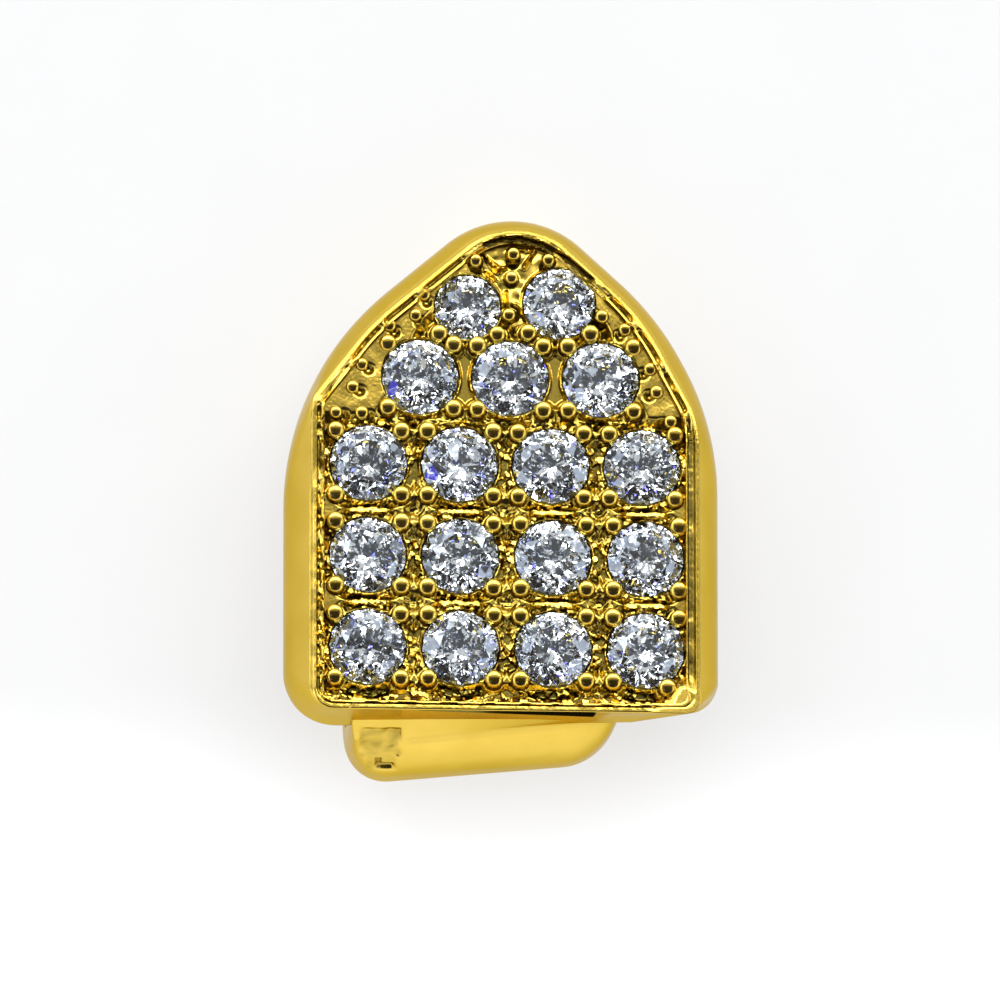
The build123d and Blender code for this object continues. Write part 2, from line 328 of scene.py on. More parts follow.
def find_view():
    """The photograph's right, up and backward directions, and the place at the picture's middle."""
    side = math.radians(VIEW_SIDEWAYS)
    roll = math.radians(VIEW_ROLL)
    back = np.array([-math.sin(side), 0, math.cos(side)])
    level = np.array([math.cos(side), 0, math.sin(side)])
    ahead = np.array([0.0, 1.0, 0.0])
    right = level * math.cos(roll) + ahead * math.sin(roll)
    up = ahead * math.cos(roll) - level * math.sin(roll)
    shift_right = (BITE_PIXEL[0] - MIDDLE) / PIXELS_PER_MM
    shift_up = (MIDDLE - BITE_PIXEL[1]) / PIXELS_PER_MM
    return right, up, back, face_origin - right * shift_right - up * shift_up


view_right, view_up, view_back, view_middle = find_view()
view_distance = PHOTO_SIZE / PIXELS_PER_MM * LENS / SENSOR


def to_pixels(points):
    """Pixels at which the photograph's view shows some points in millimetres."""
    offset = points - (view_middle + view_back * view_distance)
    near = PIXELS_PER_MM * view_distance / -(offset @ view_back)
    return MIDDLE + (offset @ view_right) * near, MIDDLE - (offset @ view_up) * near


def from_pixel(pixel):
    """Place across and up the face that the photograph shows at a pixel."""
    right = (pixel[0] - MIDDLE) / PIXELS_PER_MM
    up = (MIDDLE - pixel[1]) / PIXELS_PER_MM
    eye = view_middle + view_back * view_distance
    ray = view_right * right + view_up * up - view_back * view_distance
    reach = ((face_origin - eye) @ face_out) / (ray @ face_out)
    across, up, _ = to_face(eye + ray * reach)
    return np.array([across, up])


def find_seats():
    """Each stone's place across and up, the depth of its girdle, and its radius."""
    seats = []
    for name in sorted(frame["nodes"]):
        if not name.startswith("stone_"):
            continue
        mesh = frame["nodes"][name].data
        points = np.array([v.co for v in mesh.vertices]) / MM
        table = max(mesh.polygons, key=lambda face: face.area)
        normal = np.array(table.normal)
        heights = points @ normal
        on_table = heights > heights.max() - ON_PLANE
        across, up, depth = to_face(points[on_table].mean(axis=0))
        spread = points - np.outer(heights, normal)
        radius = np.linalg.norm(spread - spread[on_table].mean(axis=0), axis=1).max()
        crown = (1 - TABLE_SHARE) * radius * math.tan(math.radians(CROWN_ANGLE))
        seats.append((across, up, depth + crown, radius))
    return seats


seats = find_seats()
seat_spots = np.array([(across, up) for across, up, depth, radius in seats])
seat_radii = np.array([radius for across, up, depth, radius in seats])


def list_beads():
    """Places of all beads on the face."""
    beads = [(across * STONE_PITCH, FIRST_ROW + rise * ROW_PITCH) for across, rise in ARCH_BEADS]
    for number, (across, up, depth, radius) in enumerate(seats):
        ends = (-1, 1) if number < FIRST_TIP_STONE else (-1,)
        reach = (radius + BEAD_OFFSET) * math.cos(math.radians(45))
        for side in (-1, 1):
            for end in ends:
                beads.append((across + side * reach, up + end * reach))
    beads = np.array(beads)
    away = np.linalg.norm(beads - CORNER_BEAD, axis=1)
    beads[away.argmin()] = CORNER_BEAD
    return beads


beads = list_beads()


def grain(points, size, shift):
    """Smooth noise from -1 to 1 whose lumps are about `size` millimetres."""
    flat = np.zeros((len(points), 3))
    flat[:, : points.shape[1]] = points
    flat = flat / size + shift
    return np.array([noise.noise(Vector(p)) for p in flat.tolist()])


def ease(values, low, high):
    """0 below low, 1 above high, smooth between."""
    share = np.clip((values - low) / (high - low), 0, 1)
    return share * share * (3 - 2 * share)


def fade(values, low, high):
    """1 below low, 0 above high, smooth between."""
    return 1 - ease(values, low, high)


def round_corners(corners, radii, arc_steps, edge_steps):
    """Closed outline with round corners, always with the same number of points."""
    corners = [np.array(c, dtype=float) for c in corners]
    count = len(corners)
    arcs = []
    for i in range(count):
        arrive = corners[i] - corners[i - 1]
        leave = corners[(i + 1) % count] - corners[i]
        arrive /= np.linalg.norm(arrive)
        leave /= np.linalg.norm(leave)
        turn = math.atan2(arrive[0] * leave[1] - arrive[1] * leave[0], arrive @ leave)
        side = 1 if turn > 0 else -1
        start = corners[i] - arrive * radii[i] * math.tan(abs(turn) / 2)
        centre = start + side * radii[i] * np.array([-arrive[1], arrive[0]])
        angles = np.linspace(0, turn, arc_steps[i] + 1)
        spoke = start - centre
        swing = np.outer(np.sin(angles), [-spoke[1], spoke[0]])
        arcs.append(centre + np.outer(np.cos(angles), spoke) + swing)
    outline = []
    for i in range(count):
        outline.append(arcs[i])
        share = np.linspace(0, 1, edge_steps[i] + 2)[1:-1, None]
        outline.append(arcs[i][-1] * (1 - share) + arcs[(i + 1) % count][0] * share)
    return np.concatenate(outline)


def draw_inward(corners, distance):
    """Corners of a convex outline whose sides all move inward."""
    sides = []
    for i, corner in enumerate(corners):
        along = corners[(i + 1) % len(corners)] - corner
        along = along / np.linalg.norm(along)
        sides.append((corner + distance * np.array([-along[1], along[0]]), along))
    moved = []
    for i, (start, along) in enumerate(sides):
        before, arrive = sides[i - 1]
        turn = arrive[0] * along[1] - arrive[1] * along[0]
        gap = start - before
        moved.append(before + arrive * (gap[0] * along[1] - gap[1] * along[0]) / turn)
    return moved


def shoulder_corners(side, flare_share, half, apex):
    """The two corners, each with its round, that bend one side of the outline into the arch."""
    slope = math.radians(ARCH_SLOPE)
    height, side_round, turn = FACE_SHOULDERS[side]
    turn = math.radians(turn)
    arch_turn = math.pi / 2 - slope - turn
    shoulder = apex - half * math.tan(slope) + ARCH_LIFT[side]
    start = shoulder - SHOULDER_ROUND * math.tan((turn + arch_turn) / 2)
    round_up = start + SHOULDER_ROUND * math.tan(turn / 2)
    up = height * flare_share + round_up * (1 - flare_share)
    low = np.array([side * half, up])
    toward = np.array([-side * math.sin(turn), math.cos(turn)])
    reach = (shoulder - up) / (toward[1] + side * toward[0] * math.tan(slope))
    high = low + toward * reach
    rounds = (
        side_round * flare_share + SHOULDER_FIT * SHOULDER_ROUND * (1 - flare_share),
        FACE_ARCH_ROUND * flare_share + SHOULDER_FIT * SHOULDER_ROUND * (1 - flare_share),
    )
    return [low, high], rounds


def arch_outline(flare_share, inward, fine=1.0):
    """The cap's outline at a share of its flare, drawn inward; fine scales its number of points."""
    inset = FLARE * flare_share
    half = BACK_HALF_WIDTH - inset
    slope = math.radians(ARCH_SLOPE)
    apex = BACK_HEIGHT + TIP_ROUND * (1 / math.cos(slope) - 1) - inset / math.cos(slope)
    rest = 1 - flare_share
    inner = min(max(inward / RIM_WIDTH, 0), 1)
    rounds = [f * flare_share + b * rest for f, b in zip(FACE_ROUNDS, BACK_ROUNDS)]
    right, right_rounds = shoulder_corners(1, flare_share, half, apex)
    left, left_rounds = shoulder_corners(-1, flare_share, half, apex)
    corners = [
        np.array([-half, BACK_RISE_LEFT * rest]),
        np.array([half, FACE_RISE_RIGHT * flare_share + BACK_RISE_RIGHT * rest]),
        *right,
        np.array([TIP_SHIFT, apex]),
        *reversed(left),
    ]
    radii = [
        *(radius + (INNER_ROUND - radius) * inner for radius in rounds),
        max(right_rounds[0] - inward, LEAST_ROUND),
        right_rounds[1] - inward,
        TIP_ROUND - inset - inward,
        left_rounds[1] - inward,
        max(left_rounds[0] - inward, LEAST_ROUND),
    ]
    arc_steps = [round(fine * steps) for steps in ARC_STEPS]
    edge_steps = [round(fine * steps) for steps in EDGE_STEPS]
    outline = round_corners(draw_inward(corners, inward), radii, arc_steps, edge_steps)
    bend = BACK_BEND_SLOPE * np.maximum(outline[:, 0] - BACK_BEND_START, 0) * rest
    outline[:, 1] += bend * fade(outline[:, 1], *BACK_BEND_FADE)
    return outline


def wall_flare(depth):
    """How much flare is still to come at a depth, from 1 at the face to 0 at the back edge."""
    share = depth / SKIRT_DEPTH
    a, b = WAIST_DEPTH_SHARE, WAIST_FLARE_SHARE
    curve = (b - 1 + a) / (a * a - a)
    return 1 + (-1 - curve) * share + curve * share * share


def nearest(points, spots):
    """Distance from each point to the nearest spot, and which spot that is."""
    gaps = np.linalg.norm(points[:, None] - spots, axis=2)
    return gaps.min(axis=1), gaps.argmin(axis=1)


def beside_line(spots, start, end):
    """Distance from each spot to a straight line on the face, and the share of it passed there."""
    along = end - start
    share = np.clip((spots - start) @ along / (along @ along), 0, 1)
    return np.linalg.norm(spots - start - share[:, None] * along, axis=1), share


def beside_lines(spots, lines):
    """Distance from each spot to the nearest of some straight lines on the face."""
    return np.min([beside_line(spots, start, end)[0] for start, end in lines], axis=0)


def beside_beads(spots):
    """Distance from each spot to the edge of the nearest bead, below 0 inside it."""
    gap, bead = nearest(spots, beads)
    return gap - np.where(bead < len(ARCH_BEADS), SPARE_BEAD_SIZE, 1) * BEAD_RADIUS


crescent_lines = [(from_pixel(start), from_pixel(end)) for start, end in CRESCENT_PIXELS]
ridge_lines = [(from_pixel(start), from_pixel(end)) for start, end in RIDGE_PIXELS]
wedges = [(from_pixel(start), from_pixel(end), *sizes) for start, end, *sizes in WEDGE_PIXELS]


def ridge_share(spots):
    """How much of the rim's inner ridge stands at each spot."""
    on_arch = fade(beside_lines(spots, ridge_lines), *RIDGE_REACH)
    side = 0.35 + 0.65 * ease(grain(spots, 0.30, 2.0) + 0.5 * grain(spots, 0.12, 6.0), -0.15, 0.15)
    arch = ease(spots[:, 1], *SIDE_END)
    return side * (1 - arch) + on_arch * arch


def carve(spots):
    """Depth cut into the metal beside the spare beads, on the side toward the stones.

    Of the three beads in the middle of the tip, only the uppermost has a cut, below it.
    """
    spare = beads[3 : len(ARCH_BEADS)]
    inward = np.array(CUT_CENTRE) - spare
    inward /= np.linalg.norm(inward, axis=1)[:, None]
    places = np.concatenate([spare + CUT_OFFSET * inward, beads[:1] + TIP_CUT_OFFSET])
    gap, _ = nearest(spots, places)
    return CUT_DEPTH * fade(gap, *CUT_REACH)


def grid_faces(rings, steps, close_rings=True):
    """Four-sided faces between rings of points that each close on themselves.

    The last ring joins the first, or else a face closes the first ring and another the last.
    """
    last = rings if close_rings else rings - 1
    ring = np.arange(last)[:, None]
    step = np.arange(steps)
    ahead = (ring + 1) % rings
    beside = (step + 1) % steps
    corners = [(ring, step), (ring, beside), (ahead, beside), (ahead, step)]
    faces = np.stack([row * steps + place for row, place in corners], axis=-1)
    faces = faces.reshape(-1, 4).tolist()
    if not close_rings:
        faces += [[first + i for i in range(steps)] for first in (0, last * steps)]
    return faces


def band(first, second, steps):
    """Four-sided faces between two rings of points, from the number of each one's first point."""
    pairs = [(i, (i + 1) % steps) for i in range(steps)]
    return [(first + i, first + j, second + j, second + i) for i, j in pairs]


def turn_outward(mesh):
    """Turns the faces of a closed mesh to its outside."""
    shape = bmesh.new()
    shape.from_mesh(mesh)
    bmesh.ops.recalc_face_normals(shape, faces=shape.faces)
    shape.to_mesh(mesh)
    shape.free()


def add_object(name, data):
    """A new object in the scene."""
    item = bpy.data.objects.new(name, data)
    bpy.context.collection.objects.link(item)
    return item


def make_piece(name, points, faces, painted_shade, sharp_angle=None):
    """A closed mesh object from points in millimetres, smooth apart from its sharp edges.

    The list after the faces says for each point how much painted shade darkens it, from 0 to 1.
    """
    mesh = bpy.data.meshes.new(name)
    mesh.from_pydata((points * MM).tolist(), [], faces)
    # The painted shade goes on the mesh as a point attribute that the gold reads
    held = mesh.attributes.new("painted_shade", "FLOAT", "POINT")
    held.data.foreach_set("value", np.concatenate(painted_shade).astype(np.float32))
    turn_outward(mesh)
    mesh.shade_smooth()
    if sharp_angle:
        mesh.set_sharp_from_angle(angle=math.radians(sharp_angle))
    return add_object(name, mesh)


def finish_metal(piece, material):
    """Gives a piece of the casting its metal, and says what it stands for."""
    piece.data.materials.append(material)
    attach(piece, "root")
    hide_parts("cap_body")


# Rim, row by row down its section, in thousandths: inward on a plain side, inward on the right
# side and depth, then inward and depth along the bite edge, where its groove is narrow
RIM_SECTION = [
    (0, 0, 62, 0, 62), (8, 8, 40, 2, 30), (26, 20, 27, 6, 8), (52, 34, 14, 14, 0),
    (76, 46, 3, 40, 0), (88, 56, 0, 75, 1), (100, 66, 10, 105, 4), (111, 84, 38, 118, 22),
    (124, 120, 74, 126, 56), (138, 150, 84, 132, 66), (152, 180, 86, 138, 68),
    (166, 210, 84, 144, 66), (180, 236, 76, 150, 56), (192, 250, 64, 157, 36),
    (214, 262, 46, 168, 24), (238, 272, 34, 185, 18), (260, 281, 24, 205, 20),
    (272, 288, 22, 217, 30), (282, 294, 36, 226, 55), (292, 299, 80, 234, 110),
    (298, 302, 150, 242, 180), (303, 304, 220, 250, 250), (306, 306, 290, 262, 330),
    (312, 312, 360, 312, 400),
]

# Inside the plate, down the hollow's side and round the back edge: flare share, inward, depth
INSIDE_SECTION = [
    (1.0, 0.36, 0.44), (0.62, 0.46, 0.78), (0.12, 0.55, 1.08), (0.107, WALL, 1.22),
    (0.08, WALL, 1.45), (0.03, WALL, 1.68), (0, WALL, 1.83), (0, 0.535, 1.872),
    (0, 0.49, 1.896), (0, 0.42, SKIRT_DEPTH), (0, 0.275, SKIRT_DEPTH),
    (0, 0.13, SKIRT_DEPTH), (0, 0.06, 1.896), (0, 0.015, 1.872),
]

# Section of a bead in shares of its size: distance from its middle, depth below its crest
BEAD_SECTION = [
    (0.001, 0), (0.12, 0.004), (0.24, 0.018), (0.36, 0.04), (0.48, 0.071), (0.6, 0.113),
    (0.7, 0.168), (0.79, 0.25), (0.86, 0.35), (0.91, 0.47), (0.94, 0.62), (0.96, 0.8),
    (0.99, 1), (1.05, 1.2), (1.14, 1.4), (1.2, 1.8), (1.1, 2.6), (0.001, 2.6),
]


def make_rim_wall():
    """The rim with its groove, the flared wall, the back edge and the hollow's side, in one."""
    rings = []
    painted_shade = []

    def add_ring(spots, depth, painted_shade_amount):
        rings.append(from_face(*spots.T, depth))
        painted_shade.append(painted_shade_amount)

    base = arch_outline(1, 0)
    no_painted_shade = np.zeros(len(base))
    across, up = base.T
    right = ease(across, *RIGHT_SIDE) * fade(up, *RIGHT_SIDE_END)
    coarse = 0.2 + 0.8 * fade(up, *ROUGH_END) * (1 - right)
    bottom = fade(up, *BITE_END)
    worn = ease(-across, *LEFT_SIDE) * ease(up, *WORN_START)
    worn = np.maximum(worn, right) * fade(up, *WORN_END)
    # Lower on the left side painted shade dims the crest in patches, so that it is bright only
    # between them, and the right corner is plain
    patchy_painted_shade = ease(-across, *LEFT_SIDE) * fade(up, *WORN_START)
    patchy_painted_shade *= ease(grain(base, 0.4, 7.0), -0.1, 0.15)
    plain_corner = ease(across, *PLAIN_CORNER_START) * fade(up, *PLAIN_CORNER_END)
    for plain, sided, depth, bite, bite_depth in np.array(RIM_SECTION) / 1000:
        low = arch_outline(1, plain)
        high = arch_outline(1, sided)
        spots = low + (high - low) * right[:, None]
        spots += (arch_outline(1, bite) - spots) * bottom[:, None]
        plan = depth + (bite_depth - depth) * bottom
        level = plan.copy()
        ridge = np.maximum(ridge_share(spots), RIDGE_ON_BITE * bottom)
        ridge += right * (RIDGE_ON_RIGHT - ridge)
        cut = fade(beside_lines(spots, crescent_lines), *CRESCENT_REACH)
        in_groove = ease(plain, *GROOVE_START) * fade(plain, *GROOVE_END)
        # Where no ridge stands, the rim slopes to the field on the sides and is flat on the arch
        if plain > GROOVE_START[0]:
            level += 0.05 * in_groove * ridge
            sloped = 0.02 + (plain - GROOVE_START[0]) * 1.3
            flat = 0.025 + 0.15 * ease(plain, 0.19, 0.3)
            level += (1 - ridge) * (flat + (sloped - flat) * fade(up, *SIDE_END) - level)
            level = np.maximum(level, CRESCENT_DEPTH * cut * ease(plain, *CRESCENT_START))
            level = np.maximum(level, plan * (depth > RIDGE_FOOT))
        else:
            level += 0.75 * worn * (WORN_DEPTH - level)
        if depth < RIDGE_FOOT:
            level += 0.9 * plain_corner * (WORN_DEPTH - level)
        rough = 0.012 * grain(spots, 0.09, 3.0) + 0.010 * grain(spots, 0.035, 9.0)
        level += rough * (0.25 + coarse * in_groove) * (1 - 0.8 * plain_corner)
        level += 0.02 * in_groove * grain(spots, 0.4, 5.0)
        if plain > GROOVE_END[0]:
            level += carve(spots) * fade(depth, 0.2, 0.35)
        # Painted shade in the groove, on the worn crest and inner ridge, on the bite edge's bevel
        # and in the cuts, less in the plain corner
        painted_shade_amount = in_groove * ridge * (0.65 + 0.2 * (coarse - 0.2) + 0.25 * right)
        if plain < 0.115:
            painted_shade_amount = np.maximum(painted_shade_amount, 0.6 * np.maximum(worn, patchy_painted_shade))
        elif GROOVE_END[0] < plain < 0.29:
            painted_shade_amount = np.maximum(painted_shade_amount, 0.55 * worn * (1 - right))
        if 0.01 < bite < 0.11:
            painted_shade_amount = np.maximum(painted_shade_amount, 0.5 * bottom * ease(bite, 0.01, 0.06))
        painted_shade_amount *= 1 - 0.7 * plain_corner
        painted_shade_amount = np.maximum(painted_shade_amount, 0.9 * cut * ease(plain, *CRESCENT_START))
        # Deeper rows get painted shade too, growing with depth
        add_ring(spots, level, np.maximum(painted_shade_amount, ease(level, 0.33, 0.48)))
    # The inside of the plate gets no painted shade
    for flare_share, inward, depth in INSIDE_SECTION:
        add_ring(arch_outline(flare_share, inward), depth, no_painted_shade)
    # Up the outside. Under part of the bite edge the ledge runs, wider toward the right; painted
    # shade darkens it
    start, end = LEDGE_ENDS
    ledge = LEDGE_WIDTH * np.clip((across - start) / (end - start), 0, 1)
    ledge *= fade(across, end, end + 0.15) * fade(up, 0.12, 0.3)
    for depth in np.linspace(SKIRT_DEPTH - EDGE_ROUND, WALL_TOP, WALL_ROWS).tolist():
        spots = arch_outline(wall_flare(depth), 0)
        spots[:, 1] -= ledge * fade(depth, *LEDGE_FADE)
        add_ring(spots, depth, no_painted_shade)
    for share in (1.0, 0.75, 0.5, 0.25, 0.0):
        depth = LEDGE_TOP + LEDGE_HEIGHT * share
        spots = arch_outline(wall_flare(depth), 0)
        spots[:, 1] -= ledge * share
        # Painted shade on the ledge
        add_ring(spots, depth, ease(ledge, 0.0, 0.02))
    faces = grid_faces(len(rings), len(base))
    return make_piece("rim_wall", np.concatenate(rings), faces, painted_shade, 50)


def facets(spots, size):
    """Heights of rough casting: small flat facets, some of them low."""
    heights = np.zeros(len(spots))
    for number, (across, up) in enumerate((spots / size).tolist()):
        near = noise.voronoi(Vector((across, up, 0.5)))[1][0]
        chance = noise.cell_vector(near * 37.7)
        lean = 0.5 * (across - near.x) * (chance.y - 0.5) + 0.5 * (up - near.y) * (chance.z - 0.78)
        if chance.x > 0.4:
            heights[number] = 0.04 + 0.26 * (chance.x - 0.4) + size * lean
    return heights


def corner_share(spots):
    """How far each spot lies in the plain corner at the right end of the bite edge."""
    across = spots[:, 0] - 0.5 * (spots[:, 1] - 0.4)
    return ease(across, 3.35, 3.95) * fade(spots[:, 1], 0.60, 1.05)


def field_depth(spots):
    """Depth of the field between the stones: pits, skirts of beads, rough grains and ledges."""
    across, up = spots.T
    gap, which = nearest(spots, seat_spots)
    reach = gap - seat_radii[which]
    all_gaps = np.linalg.norm(spots[:, None] - seat_spots, axis=2) - seat_radii
    two = np.sort(all_gaps, axis=1)[:, :2].sum(axis=1)
    in_rows = fade(up, *ROWS_END)
    by_bite = fade(up, *BITE_GAP_END)
    # The arch is smooth, with cuts beside its beads; between the rows the metal lies lower
    depth = RIM_HEIGHT + 0.006 * grain(spots, 0.35, 4.0) + 0.004 * grain(spots, 0.05, 2.0)
    depth -= ARCH_RISE * (1 - in_rows)
    depth += GAP_DROP * in_rows * fade(reach, *GAP_REACH)
    depth += (0.42 - depth) * (1 - in_rows) * fade(two, 0.60, 0.85)
    at_tip = ease(up, 9.35, 9.7) * fade(np.abs(across - 0.15), 0.75, 1.1)
    depth += (TIP_DEPTH + 0.02 * grain(spots, 0.2, 41.0) - depth) * at_tip
    depth += PIT_DEPTH * by_bite
    # Pits where stones meet
    pits = []
    for n in range(3):
        for row in (0, 1):
            pits.append(seat_spots[[row * 4 + n, row * 4 + n + 5]].mean(axis=0))
        pits.append((seat_spots[8 + n, 0] + 1.04, 6.92))
    away, _ = nearest(spots, np.array(pits))
    depth += PIT_DEPTH * fade(away, *PIT_REACH)
    depth += 0.05 * grain(spots, 0.1, 15.0) * fade(away, 0.2, 0.36)
    # Rough grains that stand up from the gaps
    loose = np.maximum(fade(reach, 0.16, 0.26), by_bite)
    depth -= facets(spots, GRAIN_SIZE) * in_rows * loose
    # A bright ledge along the middle of each gap between rows, with a cut above it
    for low, high in ((0, 4), (4, 8)):
        middle = (seat_spots[low, 1] + seat_spots[high, 1]) / 2 - 0.03
        level = up - (middle + 0.03 * grain(spots, 0.25, 11.0))
        near_stone = fade(np.abs(across - seat_spots[which, 0]), 0.40, 0.56)
        width = 0.05 + 0.025 * grain(spots, 0.12, 21.0)
        ledge = fade(np.abs(level) - width, 0.0, 0.03) * near_stone
        cut = fade(np.abs(level - 0.12), 0.01, 0.04) * near_stone
        crest = 0.26 + 0.25 * level + 0.02 * grain(spots, 0.07, 31.0)
        depth += ledge * (crest - depth) + 0.08 * cut
    # Wedges at the tip
    for start, end, start_width, end_width, rise in wedges:
        away, share = beside_line(spots, start, end)
        width = start_width + (end_width - start_width) * share
        depth -= rise * (1 - np.clip(away / width, 0, 1))
    # The corner at the right end of the bite edge is nearly level with the rim
    depth += (CORNER_DEPTH - depth) * corner_share(spots)
    # Skirts of the beads, and the cuts beside them
    skirt = SKIRT_TOP + SKIRT_SLOPE * np.maximum(beside_beads(spots) - 0.02, 0)
    depth = np.minimum(depth, skirt) + carve(spots)
    # Lip of each seat, a raised collar in the arch
    lip = np.minimum(depth, LIP_DEPTH - LIP_RISE * (1 - in_rows))
    return depth + (lip - depth) * fade(reach, *LIP_REACH)


def fill_between(loops, free, radii):
    """Triangles between an outer loop and the round ones at the seats, with some free points.

    Gives all points, the triangles, and the number of each loop's first point.
    """
    starts = np.cumsum([0] + [len(loop) for loop in loops])
    links = []
    for start, loop in zip(starts, loops):
        links += [(start + i, start + (i + 1) % len(loop)) for i in range(len(loop))]
    flat = np.concatenate(loops + [free])
    found = delaunay_2d_cdt([Vector(p) for p in flat.tolist()], links, [], 0, 1e-7)
    points = np.array([tuple(p) for p in found[0]])
    triangles = np.array([face for face in found[2]])
    gap, which = nearest(points[triangles].mean(axis=1), seat_spots)
    return points, triangles[gap > radii[which] * 0.998], starts


def make_field():
    """The plate that carries the stones: rough top, seats drilled through, flat back."""
    outer_top = arch_outline(1, RIM_WIDTH - FIELD_OVERLAP, FIELD_FINENESS)
    outer_back = arch_outline(wall_flare(PLATE_BACK), RIM_WIDTH, FIELD_FINENESS)
    circle = np.linspace(0, 2 * math.pi, SEAT_STEPS, endpoint=False)
    unit = np.stack([np.cos(circle), np.sin(circle)], axis=1)
    # Free points on a grid, clear of the seats and inside the outer loop
    across = np.arange(-BACK_HALF_WIDTH, BACK_HALF_WIDTH, FIELD_SPACING)
    up = np.arange(0, BACK_HEIGHT, FIELD_SPACING * 0.87)
    grid_across, grid_up = np.meshgrid(across, up)
    grid_across[::2] += FIELD_SPACING / 2
    free = np.stack([grid_across.ravel(), grid_up.ravel()], axis=1)
    room = seat_radii + SEAT_CLEARANCE
    gap, which = nearest(free, seat_spots)
    free = free[gap > room[which] + FIELD_SPACING * 0.6]
    for corner, edge in zip(outer_top, outer_top - np.roll(outer_top, -1, axis=0)):
        right, ahead = (free - corner).T
        inside = (right * edge[1] - ahead * edge[0]) / np.linalg.norm(edge)
        free = free[inside > FIELD_SPACING * 0.5]
    rounds = [spot + unit * radius for spot, radius in zip(seat_spots, room)]
    top, triangles, starts = fill_between([outer_top] + rounds, free, room)
    top_depth = field_depth(top)
    # Painted shade: darker collars round the beads, less of it at the tip and in the plain corner,
    # and more where the field lies deep
    tip = ease(top[:, 1], 9.2, 9.6) * fade(top_depth, 0.24, 0.3)
    shade = 0.55 * fade(beside_beads(top), 0.05, 0.26) * (1 - 0.6 * tip)
    shade *= 1 - 0.7 * corner_share(top)
    # Back of the plate, with the drilled holes
    holes = [spot + unit * HOLE_RADIUS for spot in seat_spots]
    hole_radii = np.full(len(seats), HOLE_RADIUS)
    no_points = np.empty((0, 2))
    back, back_faces, back_starts = fill_between([outer_back] + holes, no_points, hole_radii)
    points = [from_face(*top.T, top_depth), from_face(*back.T, PLATE_BACK)]
    painted_shade = [np.maximum(ease(top_depth, 0.335, 0.47), shade), np.zeros(len(back))]
    faces = triangles.tolist() + (back_faces + len(top)).tolist()
    faces += band(0, len(top), len(outer_top))
    count = len(top) + len(back)
    # Seats: a short upright wall, the cone and the drilled hole
    slope = math.tan(math.radians(PAVILION_ANGLE))
    for number, (_, _, depth, radius) in enumerate(seats):
        girdle = depth + GIRDLE_SHARE * 2 * radius + 0.01
        foot = girdle + (room[number] - HOLE_RADIUS) * slope
        above = starts[number + 1]
        for reach, level in ((room[number], girdle), (HOLE_RADIUS, foot)):
            ring = seat_spots[number] + unit * reach
            points.append(from_face(*ring.T, level))
            # Painted shade on the seat's walls
            painted_shade.append(np.full(SEAT_STEPS, SEAT_SHADE))
            faces += band(above, count, SEAT_STEPS)
            above = count
            count += SEAT_STEPS
        faces += band(above, len(top) + back_starts[number + 1], SEAT_STEPS)
    return make_piece("pave_field", np.concatenate(points), faces, painted_shade, 60)


def make_beads():
    """Every bead: a polished dome, leaning a little, on a short neck that widens into the field."""
    circle = np.linspace(0, 2 * math.pi, BEAD_STEPS, endpoint=False)
    crest = RIM_HEIGHT - BEAD_RISE - BEAD_RADIUS * 0.6
    points = []
    painted_shade = []
    faces = []
    one_bead = grid_faces(len(BEAD_SECTION), BEAD_STEPS, False)
    for number, (across, up) in enumerate(beads):
        size = BEAD_RADIUS * (1 + 0.08 * noise.noise(Vector((number * 1.7, 0.3, 0.9))))
        if number < len(ARCH_BEADS):
            size *= SPARE_BEAD_SIZE
        for reach, level in BEAD_SECTION:
            lean = BEAD_LEAN * reach * np.sin(circle) * fade(level, 0.3, 1.0)
            spots_across = across + size * reach * np.cos(circle)
            spots_up = up + size * reach * np.sin(circle)
            points.append(from_face(spots_across, spots_up, crest + size * (level - lean)))
            # Painted shade on each bead, none at its crest and more down its flanks
            painted_shade.append(np.full(BEAD_STEPS, 0.9 * ease(level, 0.08, 0.75)))
        first = number * len(BEAD_SECTION) * BEAD_STEPS
        faces += [[first + i for i in face] for face in one_bead]
    return make_piece("beads", np.concatenate(points), faces, painted_shade)


def floor_line(up):
    """Depth of the surface that the cap lies on, below the face."""
    return (face_origin[2] + up * face_up[2]) / face_out[2]


def hook_fall(across):
    """How much lower than at its middle the slanted hook lies at one place across."""
    return (HOOK_OFFSET - across) * math.tan(math.radians(HOOK_SLANT))


def hook_section(across, low, lift):
    """Side view of the hook at one place across, its front lifted by its round corner."""
    fall = hook_fall(across)
    shift = HOOK_WALL / face_out[2]
    heel_up = lift - HEEL_SHARE * HOOK_DROP - fall
    inner_up = max(HOOK_WALL - HOOK_DROP - fall, low + 0.5)
    root_high = max(BACK_RISE_LEFT + HOOK_ROOT_HIGH, low + 0.3)
    # For each corner: depth, place up, round, points on its arc and on the edge after it
    corners = [
        (HOOK_ROOT_DEPTH, BACK_RISE_LEFT + HOOK_ROOT_LOW, ROOT_ROUND, 2, 12),
        (CREASE_DEPTH, BACK_RISE_LEFT - fall, CREASE_ROUND, 2, 14),
        (BELLY_DEPTH, low, BELLY_ROUND, 14, 20),
        (floor_line(heel_up), heel_up, HEEL_ROUND, 18, 40),
        (floor_line(HOOK_HEIGHT), HOOK_HEIGHT, LEAF_EDGE_ROUND, 8, 6),
        (floor_line(HOOK_HEIGHT) - shift, HOOK_HEIGHT, LEAF_EDGE_ROUND, 8, 36),
        (floor_line(inner_up) - shift, inner_up, HEEL_INNER_ROUND, 14, 30),
        (HOOK_ROOT_DEPTH, root_high, ROOT_ROUND, 2, 4),
    ]
    depths, ups, radii, arc_steps, edge_steps = zip(*corners)
    return round_corners(zip(depths, ups), radii, arc_steps, edge_steps)


